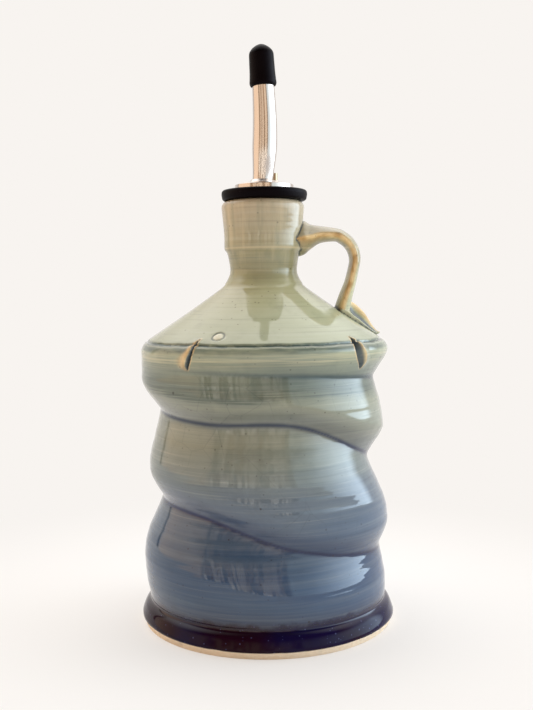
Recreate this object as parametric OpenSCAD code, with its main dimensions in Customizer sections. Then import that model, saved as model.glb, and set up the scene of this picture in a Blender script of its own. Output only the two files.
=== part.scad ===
// Hand-thrown bottle for olive oil, with a pulled handle and a steel pourer in a rubber stopper.
// Millimetres. Z is up from the table, the axis of the bottle is Z, and the handle is on the +X side.

/* [Foot] */
// Largest radius of the flared foot
foot_r = 45.4; // [43:0.2:50]
// Radius of the bare clay ring where it meets the table
foot_ring_r = 44; // [42:0.2:46]
// Height of the crease between the foot and the body
foot_h = 8.6; // [8:0.2:12]
// Radius of that crease
foot_crease_r = 42.2; // [39:0.2:43]
// Depth of the hollow under the foot
foot_recess = 3; // [1.5:0.5:4]
// Width of the ring that the foot stands on
foot_ring_w = 8; // [5:0.5:12]

/* [Body] */
// Radius of the body at the rim of the shoulder
body_r = 43.9; // [42:0.1:46]
// Radius of the body over its lowest bulge
belly_r = 44.1; // [42:0.1:46]
// Radius of the body over its bulges at half height
waist_r = 41.6; // [41:0.1:45]
// How far the neck's rim stands off the axis, away from the handle
lean = 0.6; // [0:0.1:1]
// Height of the line scored round the edge of the shoulder
shoulder_z = 100; // [92:1:110]
// Depth of that scored line
score_depth = 0.7; // [0.3:0.1:1.2]
// Thickness of the wall
wall = 4.2; // [3.4:0.2:5]
// Thickness of the floor
floor_t = 7; // [5:0.5:9]

/* [Spiral groove] */
// Depth of the groove that the thrower's finger left
groove_depth = 5.4; // [2:0.2:5.6]
// Height from the groove up to the fullest part of the bulge above it
groove_over = 11; // [8:0.5:14]
// Height from the groove down to the fullest part of the bulge below it
groove_under = 20; // [15:0.5:22]
// Sharpness of the crease, from a smooth hollow at 0 to a fold at 1
groove_fold = 0.65; // [0:0.05:1]

/* [Shoulder and neck] */
// Radius of the neck at its waist
neck_r = 11.9; // [11.5:0.1:13]
// Height of that waist
neck_waist_z = 124.5; // [122:0.5:127]
// Radius of the neck at its rolled rim
lip_r = 14.7; // [14:0.1:15.5]
// Height of the top of the rim
lip_z = 149; // [144:1:156]
// Radius of the rounding of the rim
lip_round = 2.4; // [1.5:0.1:2.6]
// Height of the thin raised line round the neck
ring_z = 131.8; // [130:0.2:134]
// Radius of the neck just above that line
collar_r = 13.9; // [13.4:0.1:14.2]
// Radius of the bore that the stopper fits
bore_r = 9.2; // [8.4:0.1:9.4]

/* [Handle] */
// Thickness of the pulled strap, along its middle
strap_t = 4; // [3.4:0.1:5]
// Thickness of the strap near its edges
strap_edge = 1.6; // [1.2:0.1:2]
// Width of the strap at its middle
strap_w = 12; // [9:0.5:14]
// Reach of the strap from the axis of the bottle, to the middle of its thickness
handle_reach = 32; // [30:0.5:36]
// Height of the top of the loop
handle_top = 137.1; // [135:0.5:140]
// Height of the strap's root on the neck
root_h = 12.2; // [9:0.2:13]
// Width of that root
root_w = 15; // [12:0.5:16]
// Height of the strap's tail above the shoulder, at its middle
tail_h = 3.9; // [3:0.1:4.2]
// Share of that height by which its near lip is lower and its far lip higher
tail_tilt = 0.4; // [0:0.05:0.5]

/* [Pressed cuts in the rim] */
// Angle of the left cut, from the front towards the handle
cut_left = -34; // [-60:1:-20]
// Angle of the right cut
cut_right = 46; // [20:1:60]
// Lean of the left cut
cut_left_lean = 12; // [0:1:20]
// Lean of the right cut
cut_right_lean = 18; // [0:1:20]
// Depth of a cut
cut_depth = 2; // [1:0.2:2.6]
// Length of a cut over the rim
cut_len = 12.5; // [9:0.5:14]
// Length of a cut below the rounding of the rim
cut_low = 3.6; // [3:0.2:5]
// Width of a cut
cut_w = 2.2; // [1.6:0.2:3.4]
// Height of the clay raised beside a cut
lobe_h = 1; // [0.5:0.1:1.4]
// Width of that clay
lobe_w = 4.6; // [3:0.2:6]

/* [Stopper] */
// Clearance between the stopper's fins and the bore
fin_gap = 0.3; // [0.2:0.05:0.5]
// Length of the plug in the neck
plug_len = 24; // [18:1:28]
// Radius of the plug between its fins
plug_r = 7.4; // [7.2:0.1:7.8]
// Number of fins
fin_count = 4; // [3:1:5]
// Thickness of a fin at its edge
fin_t = 1.4; // [1:0.1:2]
// Radius of the collar that lies on the rim
collar_out_r = 15.2; // [14.6:0.1:16]
// Thickness of the collar
collar_t = 3.7; // [3:0.1:5]

/* [Pourer] */
// Clearance round the tubes where they pass the rubber and the plate
tube_gap = 0.05; // [0.02:0.01:0.1]
// Radius of the plate
plate_r = 10.4; // [9.5:0.1:12]
// Thickness of the plate at its edge
plate_t = 1.7; // [1:0.1:2]
// Rise of the plate from its edge to its boss
plate_rise = 1; // [0.6:0.1:1.6]
// Height of the boss above the plate
boss_h = 1.1; // [0.6:0.1:2]
// Radius of the spout at its base
spout_base_r = 3.6; // [3.4:0.1:3.9]
// Radius of the spout where it is fullest
spout_belly_r = 4.4; // [4:0.1:4.8]
// Radius of the spout at its tip
spout_tip_r = 3.5; // [3:0.1:3.8]
// Thickness of the steel of both tubes
tube_wall = 0.5; // [0.4:0.05:0.7]
// Height of the spout's tip above the rim
spout_h = 51.5; // [44:0.5:56]
// Angle through which the spout bends
spout_bend = 8; // [4:1:12]
// Lean of the spout at its base, towards the handle
spout_base_lean = 5; // [3:0.5:7]
// Radius of the breather tube
vent_r = 1.2; // [1:0.05:1.3]
// Thickness of the steel of the breather tube
vent_wall = 0.3; // [0.2:0.05:0.4]
// Height of the breather's stub above the boss
vent_stub = 2.6; // [1.5:0.1:4]
// Length of the breather below the plug
vent_drop = 25; // [10:1:40]

/* [Cap] */
// Length of the rubber cap over the tip
cap_len = 14.5; // [12:0.5:18]
// Outer radius of the cap at its open end
cap_r = 4.8; // [4.6:0.1:5.2]
// Outer radius of the cap at its shoulder
cap_top_r = 4.35; // [4.2:0.05:4.6]
// Clearance between the cap and the tip
cap_gap = 0.3; // [0.2:0.05:0.3]
// Thickness of the cap's end
cap_end = 3; // [2:0.1:4]

/* [Hidden] */
$fn = 96;

// Segments round the bottle and the height of one row of its skin.
segments = 56;
row_h = 2.6;

// Drop from the scored line to the groove, at every groove_step degrees from groove_start, for three
// turns. The hand let it run level and then fall, and at its end it reaches the foot.
groove_start = -75;
groove_step = 45;
groove_drops = [
    7, 8.5, 10, 12, 14, 15.5, 18, 21,
    24, 26, 26.5, 37, 44, 47, 50, 53.5,
    55.2, 57.5, 67, 72.2, 74.4, 78.5, 83, 87,
    shoulder_z - foot_h
];
groove_turns = (len(groove_drops) - 1) * groove_step;
groove_fade_in = 170;
groove_fade_out = 320;

// Fullest height of the foot, and the height at which it turns in.
foot_full_z = 3;
foot_turn_z = 4.8;

// Shares of the body's height: the end of its lowest bulge, and the middle and end of its waist.
belly_share = 0.17;
waist_share = 0.62;
top_share = 0.88;

// Rounding of the rim, up to rim_turn degrees, and the straight part of the shoulder above it, which
// starts so far in from the body and up from the scored line.
rim_round = 5;
rim_turn = 50;
rim_z = shoulder_z - 4;
cone_slope = 0.7;
cone_start = [9.4, 4.8];
cone_out = [body_r - cone_start[0], shoulder_z + cone_start[1]];
cone_in_r = neck_r + 3.2;
cone_in = [cone_in_r, cone_out[1] + cone_slope * (cone_out[0] - cone_in_r)];

// Oil chamber: its radius, and the rounding at its floor and at the mouth.
room_r = waist_r - groove_depth - wall + 1;
room_round = 6;
mouth_round = 1;

// Bend of the strap, its slant below the bend, and the middle of its foot, so far above the shoulder.
strap_bend_r = 9;
strap_slant = 16;
strap_foot_x = handle_reach - 3.4;
strap_foot_up = 6.3;
strap_foot = [strap_foot_x, cone_out[1] + cone_slope * (cone_out[0] - strap_foot_x - lean) + strap_foot_up];
tail_normal = 52;

// How deep the raised clay beside a cut goes into the rim, to meet the clay where the groove thins it.
lobe_root = groove_depth;

fin_r = bore_r - fin_gap;
plug_z = lip_z - plug_len;
collar_z = lip_z + collar_t;
boss_z = collar_z + plate_t + plate_rise;
spout_at = [-0.6, -0.3];
vent_at = [3.6, 3.2];
boss_margin = 0.8;
tip_z = lip_z + spout_h;
cap_z = tip_z - cap_len + cap_end;

function smooth(s) = s <= 0 ? 0 : s >= 1 ? 1 : s * s * (3 - 2 * s);
function mix(a, b, s) = a + (b - a) * s;

// A closed skin from rings of points, with flat ends. Every ring has the same number of points.
module skin(rings) {
    n = len(rings[0]);
    last = len(rings) - 1;
    sides = [
        for (i = [0:last - 1])
            for (j = [0:n - 1])
                let (a = i * n + j, b = i * n + (j + 1) % n)
                    each [[a, a + n, b], [b, a + n, b + n]]
    ];
    bottom = [for (j = [0:n - 1]) j];
    top = [for (j = [n - 1:-1:0]) last * n + j];
    polyhedron([for (ring = rings) each ring], concat([bottom], sides, [top]), convexity = 8);
}

// How far the top is off the axis at a height.
function lean_at(z) = lean * z / lip_z;

// Smooth curve through a list of values, one at each whole number.
function curve(p, t) =
    let (
        last = len(p) - 1,
        i = min(last - 1, max(0, floor(t))),
        s = t - i,
        before = i > 0 ? p[i - 1] : 2 * p[0] - p[1],
        after = i + 2 > last ? 2 * p[last] - p[last - 1] : p[i + 2],
        rise = (p[i + 1] - before) / 2,
        next_rise = (after - p[i]) / 2
    )
        mix(p[i], p[i + 1], smooth(s)) + s * (1 - s) * ((1 - s) * rise - s * next_rise);

// Height of the groove after so many degrees from its start, and how deep it is there.
function groove_at(turn) = shoulder_z - curve(groove_drops, turn / groove_step);
function groove_depth_at(turn) =
    groove_depth * smooth(turn / groove_fade_in) * smooth((groove_turns - turn) / groove_fade_out);

// Cross-section of the groove: short above and long below, and partly a smooth hollow and partly a fold.
function groove_shape(up) =
    let (x = min(1, up > 0 ? up / groove_over : -up / groove_under))
        mix(pow(cos(90 * x), 2), 1 - sin(90 * x), groove_fold);

// How far the spiral groove takes the skin in, at an angle from the front and a height.
function groove_in(angle, z) =
    let (first = (angle - groove_start + 720) % 360)
        max([
            for (turn = [first:360:groove_turns])
                groove_depth_at(turn) * groove_shape(z - groove_at(turn))
        ]);

// Outline of the bottle from the table up, as radius and height.
function foot_rows() = [
    [foot_ring_r, 0],
    [foot_r - 0.25, foot_full_z / 2],
    [foot_r, foot_full_z],
    [foot_r - 0.5, foot_turn_z],
    [mix(foot_r, foot_crease_r, 0.45), mix(foot_turn_z, foot_h, 0.5)],
    [foot_crease_r, foot_h]
];
function body_r_at(z) =
    let (s = (z - foot_h) / (rim_z - foot_h))
        s < belly_share ? mix(foot_crease_r, belly_r, sin(90 * s / belly_share))
            : s < waist_share ? mix(belly_r, waist_r, smooth((s - belly_share) / (waist_share - belly_share)))
            : mix(waist_r, body_r, smooth((s - waist_share) / (top_share - waist_share)));
function body_rows() =
    let (count = round((rim_z - foot_h) / row_h))
        [for (i = [1:count - 1]) let (z = mix(foot_h, rim_z, i / count)) [body_r_at(z), z]];
function shoulder_rows() = concat(
    [for (a = [0:rim_turn / 2:rim_turn]) [body_r - rim_round * (1 - cos(a)), rim_z + rim_round * sin(a)]],
    [
        [body_r - 2.2 - score_depth, shoulder_z],
        [body_r - 2.9, shoulder_z + 0.7],
        [body_r - 4.6, shoulder_z + 1.9],
        cone_out,
        [mix(cone_out[0], cone_in[0], 0.5), mix(cone_out[1], cone_in[1], 0.5) - 0.2],
        cone_in,
        [neck_r + 1.9, mix(cone_in[1], neck_waist_z, 0.24)],
        [neck_r + 0.6, mix(cone_in[1], neck_waist_z, 0.62)]
    ]
);
function neck_rows() = concat(
    [
        [neck_r, neck_waist_z],
        [neck_r + 0.5, mix(neck_waist_z, ring_z, 0.55)],
        [collar_r - 0.9, ring_z - 0.9],
        [collar_r, ring_z],
        [collar_r, mix(ring_z, lip_z, 0.3)],
        [mix(collar_r, lip_r, 0.5), mix(ring_z, lip_z, 0.6)],
    ],
    [
        for (a = [0:22.5:90])
            [lip_r - lip_round * (1 - cos(a)), lip_z - lip_round * (1 - sin(a))]
    ]
);

module outer_skin() {
    rows = concat(foot_rows(), body_rows(), shoulder_rows(), neck_rows());
    skin([
        for (row = rows) [
            for (j = [0:segments - 1])
                let (a = 360 * j / segments, r = row[0] - groove_in(a, row[1]))
                    [r * sin(a) - lean_at(row[1]), -r * cos(a), row[1]]
        ]
    ]);
}

// Hollow of the bottle: the oil chamber, the bore and the rounded mouth.
module hollow() {
    rotate_extrude()
        polygon(concat(
            [[0, floor_t], [room_r - room_round, floor_t]],
            [
                for (a = [15:15:90])
                    [room_r - room_round * (1 - sin(a)), floor_t + room_round * (1 - cos(a))]
            ],
            [
                [room_r, shoulder_z - 2 * wall],
                [room_r - 3, shoulder_z - wall],
                [bore_r + 1, cone_in[1] - wall + 1],
                [bore_r, neck_waist_z - wall],
                [bore_r, lip_z - mouth_round]
            ],
            [
                for (a = [30:30:90])
                    [bore_r + mouth_round * (1 - cos(a)), lip_z - mouth_round * (1 - sin(a))]
            ],
            [[bore_r + mouth_round, lip_z + 1], [0, lip_z + 1]]
        ));
}

module foot_hollow() {
    rotate_extrude()
        polygon([
            [0, -1],
            [foot_ring_r - foot_ring_w + 0.5, -1],
            [foot_ring_r - foot_ring_w, foot_recess * 0.6],
            [foot_ring_r - foot_ring_w - 2, foot_recess],
            [0, foot_recess]
        ]);
}

// Section of the strap at a station: thickest in the middle, with narrow rounded edges. A station is the
// x and z of the section's middle, the angle that its thickness lies along, thickness and width. It may
// also have a dip, which presses the outer face in, and a tilt, which lowers the near side.
function strap_ring(p) =
    let (
        x = p[0],
        z = p[1],
        lean = p[2],
        thick = p[3],
        wide = p[4],
        dip = len(p) > 5 ? p[5] : 0,
        tilt = len(p) > 6 ? p[6] : 0,
        sharp = ln(min(strap_edge / thick, 0.6)) / ln(0.5)
    )
        [
            for (a = [0:22.5:359])
                let (
                    lens = sign(cos(a)) * pow(abs(cos(a)), sharp),
                    lips = pow(1 - pow(sin(a), 4), 0.5) - max(0, 1 - pow(sin(a) / 0.7, 2)) * dip,
                    off = thick / 2 * (dip > 0 && cos(a) > 0 ? lips : lens) * (1 - tilt * sin(a))
                )
                    [x + off * cos(lean), -wide / 2 * sin(a), z + off * sin(lean)]
        ];

// Stations of the strap. It leaves the neck level, turns down in an arc, and runs straight to the shoulder.
function strap_path() =
    let (r = strap_bend_r, mid = [handle_reach - r, handle_top - r], foot = strap_foot)
        concat(
            [
                [neck_r - 3, handle_top - 2.4, 90, root_h, root_w],
                [neck_r + 1.7, handle_top - 1.2, 91, root_h, root_w],
                [neck_r + 4.2, handle_top - 0.9, 90, mix(root_h, strap_t, 0.38), mix(root_w, strap_w, 0.5)],
                [neck_r + 7.8, handle_top - 0.1, 90, mix(root_h, strap_t, 0.74), strap_w]
            ],
            [
                for (i = [0:6])
                    let (a = mix(75, -strap_slant, i / 6), thick = mix(strap_t + 0.8, strap_t, i / 6))
                        [mid[0] + r * cos(a), mid[1] + r * sin(a), a, thick, strap_w]
            ],
            [
                [foot[0] + 1.9, foot[1] + 5.8, -strap_slant, strap_t + 0.2, strap_w],
                [foot[0] + 1, foot[1] + 3, -strap_slant, strap_t + 0.5, strap_w - 0.4],
                [foot[0], foot[1], 2 - strap_slant, strap_t + 1, strap_w - 1],
                [foot[0] - 1.7, foot[1] - 6.2, 4 - strap_slant, strap_t + 2, strap_w - 1.6]
            ]
        );

// The strap's end, pressed out along the shoulder into a tail with two lips and a channel between them.
// Each is given as its place from the strap's reach, its share of the tail's height, its width and its dip.
function tail_path() = [
    for (p = [[-5.6, 0.7, 11, 0.05], [-4.1, 1, 10.6, 0.15], [-1.6, 1, 9.8, 0.42],
              [1.3, 0.84, 8.4, 0.42], [4.4, 0.5, 6.2, 0.35], [6.8, 0.28, 3.8, 0.15], [8.6, 0.08, 1.8, 0.05]])
        let (x = handle_reach + p[0])
            [
                x,
                cone_out[1] + cone_slope * max(-4.6, cone_out[0] - x - lean),
                tail_normal - 0.5 * max(0, p[0]),
                2 * tail_h * p[1] / 0.866,
                p[2],
                p[3],
                tail_tilt
            ]
];

module strap_sweep(path) {
    skin([for (p = path) strap_ring(p)]);
}

// Place on the rim after a distance over it from below, as radius, height and slope of the outward normal.
function over_rim(d) =
    let (
        turn = min(rim_turn, max(0, d - cut_low) / rim_round * 180 / PI),
        rest = max(0, d - cut_low - rim_round * rim_turn * PI / 180)
    )
        [
            body_r - rim_round * (1 - cos(turn)) - rest * sin(turn),
            rim_z - max(0, cut_low - d) + rim_round * sin(turn) + rest * cos(turn),
            turn
        ];

// A leaf-shaped form laid over the rim. Its section is a list of points, as shares of the
// width and as heights above the clay, and it narrows to nothing at both ends.
module leaf(angle, slant, side, width, section) {
    steps = 10;
    rotate([0, 0, angle])
        skin([
            for (i = [0:steps])
                let (
                    s = mix(-0.98, 0.98, i / steps),
                    at = over_rim(cut_len * (1 + s) / 2),
                    full = 1 - s * s,
                    across = side - s * cut_len / 2 * tan(slant) * sign(angle)
                )
                    [
                        for (p = section)
                            let (x = across + p[0] * width * full, out = p[1] > 0 ? p[1] : p[1] * full)
                                [x, -(at[0] + out * cos(at[2])), at[1] + out * sin(at[2])]
                    ]
        ]);
}

module pressed_cut(angle, slant) {
    leaf(angle, slant, 0, cut_w, [[0.8, 1.2], [0, -cut_depth], [-0.8, 1.2]]);
}

module raised_lobe(angle, slant) {
    side = sign(angle) * (cut_w / 2 + lobe_w * 0.4);
    leaf(angle, slant, side, lobe_w, [[-0.3, lobe_h], [0.3, lobe_h], [0.5, -lobe_root], [-0.5, -lobe_root]]);
}

module bottle() {
    color("lightslategray")
        difference() {
            union() {
                outer_skin();
                strap_sweep(strap_path());
                strap_sweep(tail_path());
                raised_lobe(cut_left, cut_left_lean);
                raised_lobe(cut_right, cut_right_lean);
            }
            pressed_cut(cut_left, cut_left_lean);
            pressed_cut(cut_right, cut_right_lean);
            hollow();
            foot_hollow();
        }
}

// Hole for a tube through the stopper or the plate.
module tube_hole(at, r, from, to) {
    translate([at[0], at[1], from])
        cylinder(r = r + tube_gap, h = to - from);
}

module stopper() {
    pitch = (plug_len - 4) / fin_count;
    color("black")
        difference() {
            rotate_extrude()
                polygon(concat(
                    [[0, plug_z], [plug_r - 1, plug_z], [plug_r, plug_z + 1]],
                    [
                        for (i = [0:fin_count - 1])
                            let (z = plug_z + 2 + i * pitch)
                                each [
                                    [plug_r, z],
                                    [fin_r, z + pitch / 2 - fin_t / 2],
                                    [fin_r, z + pitch / 2 + fin_t / 2],
                                    [plug_r, z + pitch / 2 + fin_t]
                                ]
                    ],
                    [
                        [plug_r, lip_z],
                        [collar_out_r - 1, lip_z],
                        [collar_out_r - 0.3, lip_z + 0.5],
                        [collar_out_r, lip_z + collar_t * 0.6],
                        [collar_out_r - 0.1, collar_z - 0.5],
                        [collar_out_r - 0.6, collar_z],
                        [0, collar_z]
                    ]
                ));
            tube_hole(spout_at, spout_base_r, plug_z - 1, collar_z + 1);
            tube_hole(vent_at, vent_r, plug_z - 1, collar_z + 1);
        }
}

// Domed steel plate on the collar, with a boss that both tubes pass through.
module plate() {
    color("silver")
        difference() {
            union() {
                rotate_extrude()
                    polygon([
                        [0, collar_z],
                        [plate_r, collar_z],
                        [plate_r, collar_z + plate_t],
                        [plate_r * 0.9, collar_z + plate_t + plate_rise * 0.55],
                        [plate_r * 0.6, boss_z],
                        [0, boss_z]
                    ]);
                translate([spout_at[0], spout_at[1], boss_z - 1])
                    cylinder(r = spout_base_r + boss_margin, h = boss_h + 1);
                translate([vent_at[0], vent_at[1], boss_z - 1])
                    cylinder(r = vent_r + boss_margin, h = boss_h + 1);
            }
            tube_hole(spout_at, spout_base_r, collar_z - 1, boss_z + boss_h + 1);
            tube_hole(vent_at, vent_r, collar_z - 1, boss_z + boss_h + 1);
        }
}

// The spout's middle line bends in the XZ plane through spout_bend degrees, between the boss and the cap.
// At a height above the boss this gives the lean and the sideways shift.
function spout_lean(z) =
    spout_base_lean - spout_bend * smooth((z - boss_z) / (cap_z - boss_z));
function spout_shift(z) =
    z <= boss_z ? 0 : spout_shift(max(boss_z, z - 2)) + min(2, z - boss_z) * tan(spout_lean(z - 1));
function spout_r(z) =
    let (s = (z - boss_z) / (tip_z - boss_z))
        s < 0.3 ? mix(spout_base_r, spout_belly_r, smooth(s / 0.3))
            : mix(spout_belly_r, spout_tip_r, pow((s - 0.3) / 0.7, 1.3));
function spout_ring(z, inset) =
    let (n = 32, lean = z <= boss_z ? 0 : spout_lean(z), r = spout_r(max(z, boss_z)) - inset)
        [
            for (j = [0:n - 1])
                let (a = 360 * j / n)
                    [
                        spout_at[0] + spout_shift(z) + r * cos(a) * cos(lean),
                        spout_at[1] + r * sin(a),
                        z - r * cos(a) * sin(lean)
                    ]
        ];

function spout_rings(inset) =
    let (steps = 12)
        concat(
            [spout_ring(plug_z, inset), spout_ring(boss_z, inset)],
            [for (i = [1:steps]) spout_ring(mix(boss_z, tip_z, i / steps), inset)]
        );

// A tube from its outer rings and its inner rings, both from the bottom up.
module tube_skin(outer, inner) {
    rings = concat(outer, [for (i = [len(inner) - 1:-1:0]) inner[i]]);
    n = len(rings[0]);
    count = len(rings);
    polyhedron(
        [for (ring = rings) each ring],
        [
            for (i = [0:count - 1])
                for (j = [0:n - 1])
                    let (
                        a = i * n + j,
                        b = i * n + (j + 1) % n,
                        c = (i + 1) % count * n + j,
                        d = (i + 1) % count * n + (j + 1) % n
                    )
                        each [[a, c, b], [b, c, d]]
        ],
        convexity = 6
    );
}

module spout() {
    color("silver") tube_skin(spout_rings(0), spout_rings(tube_wall));
}

module breather() {
    top = boss_z + boss_h + vent_stub;
    bottom = plug_z - vent_drop;
    color("silver")
        translate([vent_at[0], vent_at[1], bottom])
            difference() {
                cylinder(r = vent_r, h = top - bottom);
                translate([0, 0, -1]) cylinder(r = vent_r - vent_wall, h = top - bottom + 2);
            }
}

// The cap stands on the spout's end and leans with it.
module cap() {
    inner_r = spout_r(cap_z) + cap_gap;
    depth = cap_len - cap_end;
    color("black")
        translate([spout_at[0] + spout_shift(tip_z), spout_at[1], tip_z])
            rotate([0, spout_lean(tip_z), 0])
                rotate_extrude()
                    polygon([
                        [inner_r, -depth],
                        [cap_r - 0.4, -depth],
                        [cap_r, 0.8 - depth],
                        [mix(cap_r, cap_top_r, 0.6), 4 - depth],
                        [cap_top_r, cap_end - 3.4],
                        [cap_top_r - 0.25, cap_end - 2.6],
                        [cap_top_r * 0.75, cap_end - 1.5],
                        [cap_top_r * 0.42, cap_end - 0.5],
                        [cap_top_r * 0.2, cap_end - 0.1],
                        [0, cap_end],
                        [0, 0],
                        [spout_tip_r + cap_gap, 0],
                    ]);
}

bottle();
stopper();
plate();
spout();
breather();
cap();
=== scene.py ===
import math

import bpy
import numpy as np
from mathutils import Matrix, Vector
from mathutils.kdtree import KDTree


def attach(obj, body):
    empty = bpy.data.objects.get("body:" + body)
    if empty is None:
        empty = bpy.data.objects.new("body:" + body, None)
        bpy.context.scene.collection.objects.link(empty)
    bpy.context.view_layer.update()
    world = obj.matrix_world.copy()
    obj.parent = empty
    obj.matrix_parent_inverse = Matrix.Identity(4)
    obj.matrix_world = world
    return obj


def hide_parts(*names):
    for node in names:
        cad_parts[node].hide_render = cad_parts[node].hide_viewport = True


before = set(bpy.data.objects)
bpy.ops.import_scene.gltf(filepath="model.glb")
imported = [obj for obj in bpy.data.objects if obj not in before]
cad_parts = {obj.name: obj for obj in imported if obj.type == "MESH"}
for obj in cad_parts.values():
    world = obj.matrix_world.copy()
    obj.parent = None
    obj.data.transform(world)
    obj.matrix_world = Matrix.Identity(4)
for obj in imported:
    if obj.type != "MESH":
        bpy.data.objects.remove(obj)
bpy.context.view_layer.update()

# Sizes are in millimetres, as in the part's source, and meshes are made in metres.
MM = 0.001

# The bottle: foot, body, shoulder, neck and lip. Its belly and waist are shares of the body's height.
FOOT_R, FOOT_RING_R, FOOT_H, FOOT_CREASE_R = 45.4, 44.0, 8.6, 42.2
FOOT_RECESS, FOOT_RING_W, FOOT_FALL_Z, FOOT_INSET = 3.0, 8.0, 4.8, 0.19
GLAZE_EDGE_Z = 2.3
BODY_R, BELLY_R, WAIST_R, LEAN = 43.9, 44.1, 41.6, 0.6
BELLY_SHARE, WAIST_SHARE, SHOULDER_RUN = 0.17, 0.62, 0.26
SHOULDER_Z, SCORE_DEPTH, RIM_ROUND = 100.0, 0.7, 5.0
RIM_Z, SCORE_Z = SHOULDER_Z - 4, SHOULDER_Z + 0.1
WALL, FLOOR_T = 4.2, 7.0
NECK_R, NECK_WAIST_Z = 11.9, 124.5
LIP_R, LIP_Z, LIP_ROUND = 14.7, 149.0, 2.4
RING_Z, COLLAR_R, BORE_R = 131.8, 13.9, 9.2
CONE_SLOPE = 0.69
CONE_OUT = (BODY_R - 9.4, SHOULDER_Z + 5.0)
CONE_IN = (NECK_R + 3.2, CONE_OUT[1] + CONE_SLOPE * (CONE_OUT[0] - NECK_R - 3.2))

# The spiral groove. Its drops are below the shoulder line, one for each step of the turn in degrees.
GROOVE_DEPTH, GROOVE_OVER, GROOVE_UNDER, GROOVE_FOLD = 5.4, 11.0, 20.0, 0.65
GROOVE_START, GROOVE_STEP = -75.0, 45.0
GROOVE_FADE_IN, GROOVE_FADE_OUT = 170.0, 320.0
CREASE_SOFT, CREASE_SPAN = 0.05, 0.9512
GROOVE_DROPS = np.array([
    7, 8.5, 10, 12, 14, 15.5, 18, 21,
    24, 26, 26.5, 37, 44, 47, 50, 53.5,
    55.2, 57.5, 67, 72.2, 74.4, 78.5, 83, 87,
    SHOULDER_Z - FOOT_H,
])
GROOVE_TURNS = (len(GROOVE_DROPS) - 1) * GROOVE_STEP
GROOVE_LAPS = int(GROOVE_TURNS / 360)

# The strap handle and its tail. A station whose channel is deeper than the dip is the tail's.
STRAP_T, STRAP_EDGE, STRAP_W = 4.0, 1.6, 12.0
STRAP_BEND_R, STRAP_DOWN = 9.0, -16.0
HANDLE_REACH, HANDLE_TOP = 32.0, 137.1
STRAP_FOOT = (HANDLE_REACH - 3.4, SHOULDER_Z + 14.8)
ROOT_H, ROOT_W, TAIL_H, TAIL_TILT, TAIL_DIP = 12.2, 15.0, 3.9, 0.4, 0.01
# Reaches of the pooled glaze and painted shade where the strap meets the body.
BODY_POOL_AND_SHADE, STRAP_POOL_AND_SHADE = 1.2, 0.8

# Each pressed cut: its angle, then rows of the distance up the skin from the rim, the near edge, the far
# edge and the end of the thin glaze. The last three are measured round the body, away from the front.
LEFT_CUT = (-34.0, (
    (-4.2, 0.6, 0.8, 3.0), (-2.8, 0.2, 1.8, 6.0), (-0.8, -0.6, 1.1, 6.8), (0.5, -1.1, 0.3, 5.2),
    (2.1, -1.6, -0.6, 2.4), (5.0, -1.9, -1.2, 0.2), (8.6, -1.9, -1.8, -1.2)))
RIGHT_CUT = (46.0, (
    (-5.0, 3.8, 4.0, 4.6), (-3.1, 1.7, 4.6, 5.4), (-0.4, -1.1, 2.9, 3.8), (2.1, -2.4, 1.1, 1.8),
    (5.2, -1.5, 0.2, 0.8), (8.6, -0.7, -0.5, -0.2)))
CUTS = (LEFT_CUT, RIGHT_CUT)
CUT_DEPTH, CUT_BOTTOM = 2.0, 0.3
LOBE_H, LOBE_SPREAD = 1.0, 2.852

# The small ring pressed in the shoulder: its angle, height, reach and radius, and the skin there.
MARK_AT, MARK_Z, MARK_REACH, MARK_R = -23.0, 102.8, 8.0, 2.1
MARK_SKIN_R, MARK_SKIN_RISE, MARK_SCALE = 38.5, 0.56, 1.08

# The bottle's grid. Its columns stand closer together at some places: angle, reach, step.
COLUMN_STEP, LAST_COLUMN = 1.9, 179.6
FINE_COLUMNS = (
    (LEFT_CUT[0] - 1, 7, 0.35), (RIGHT_CUT[0] + 3, 8, 0.35), (MARK_AT, 3.5, 0.55), (90, 30, 1.4))
BODY_ROWS, CUT_ROWS, CUT_REACH, EVEN_ROWS = 178, 18, 7.0, 10
AXIS_R = 0.01

# What the glaze reads where it is far from any groove or scored line, and from the pressed ring.
FAR, MARK_FAR = 30.0, 9.0
STRAP_VALUES = {"fold": FAR, "score": FAR, "ring": MARK_FAR, "share": 0, "hollow": 0, "clay": 0, "inside": 0}

# The pourer: stopper, plate with its boss, spout and breather, and the cap on the spout's tip.
FIN_GAP, PLUG_LEN, PLUG_R, FIN_COUNT, FIN_T = 0.3, 24.0, 7.4, 4, 1.4
COLLAR_OUT_R, COLLAR_T = 15.2, 3.7
FIN_R, PLUG_Z, COLLAR_Z = BORE_R - FIN_GAP, LIP_Z - PLUG_LEN, LIP_Z + COLLAR_T
PLATE_R, PLATE_T, PLATE_RISE, BOSS_H, BOSS_MARGIN = 10.4, 1.7, 1.0, 1.1, 0.8
BOSS_Z = COLLAR_Z + PLATE_T + PLATE_RISE
SPOUT_AT, VENT_AT, VENT_R = (-0.6, -0.3), (3.6, 3.2), 1.2
SPOUT_BASE_R, SPOUT_BELLY_R, SPOUT_TIP_R, TUBE_WALL = 3.6, 4.4, 3.5, 0.5
SPOUT_H, SPOUT_BEND, SPOUT_BASE_LEAN, SPOUT_BELLY_SHARE = 51.5, 8.0, 5.0, 0.3
TIP_Z = LIP_Z + SPOUT_H
TUBE_GAP, HOLE_SIDES = 0.05, 48
CAP_LEN, CAP_R, CAP_TOP_R, CAP_GAP, CAP_END = 14.5, 4.8, 4.35, 0.3, 3.0
CAP_Z = TIP_Z - CAP_LEN + CAP_END


def smooth(s):
    s = np.clip(s, 0, 1)
    return s * s * (3 - 2 * s)


def mix(a, b, s):
    return a + (b - a) * s


def lean_at(z):
    return LEAN * z / LIP_Z


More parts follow.
